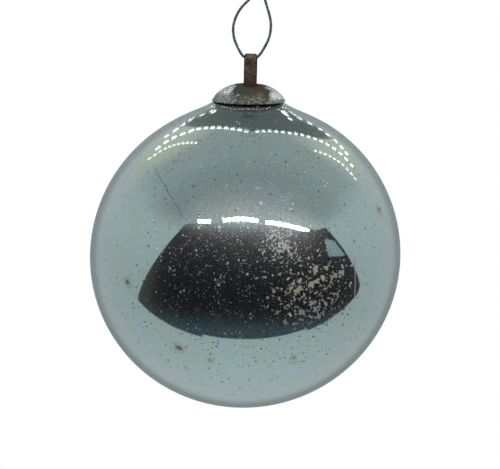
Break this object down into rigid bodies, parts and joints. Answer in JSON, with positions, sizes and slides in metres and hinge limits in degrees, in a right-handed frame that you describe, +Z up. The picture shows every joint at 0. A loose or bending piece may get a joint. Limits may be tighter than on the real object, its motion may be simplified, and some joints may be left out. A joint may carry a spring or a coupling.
{
  "type": "hanging glass ball ornament",
  "caption": "Silvered blown-glass ball with a domed metal cap, a folded strap sprung into its neck and a looped wire hook to hang it by.",
  "frame": {"origin": "the point inside the top of the wire hook where the ornament hangs", "axes": "+Z up along the hanging ball's axis, +X to the right across the wire loop, -Y towards the front"},
  "size_m": [0.1, 0.1, 0.1584],
  "materials": {
    "wire": "dark bent steel wire, lightly oxidised",
    "strap": "thin iron strip, brown with rust",
    "cap": "plated sheet, dulled, pitted and rust-stained",
    "glass": "clear blown glass with a grey-green cast, speckled",
    "silvering": "aged mirror silvering with spots and flaked patches"
  },
  "bodies": {
    "hanger": {"wire_hanger": "wire"},
    "strap": {"hanger_strap": "strap"},
    "cap": {"cap": "cap"},
    "ball": {"glass_ball": "glass", "silver_lining": "silvering"}
  },
  "joints": [
    {"name": "ball_swing", "type": "hinge", "parent": "hanger", "child": "strap", "pos_m": [0.0004, 0, -0.0454], "axis": [1, 0, 0], "range_deg": [-110, 110]},
    {"name": "cap_lift", "type": "slide", "parent": "strap", "child": "cap", "axis": [0, 0, 1], "range_m": [0, 0.005]},
    {"name": "ball_turn", "type": "hinge", "parent": "strap", "child": "ball", "pos_m": [0, 0, -0.0568], "axis": [0, 0, 1], "continuous": true}
  ]
}
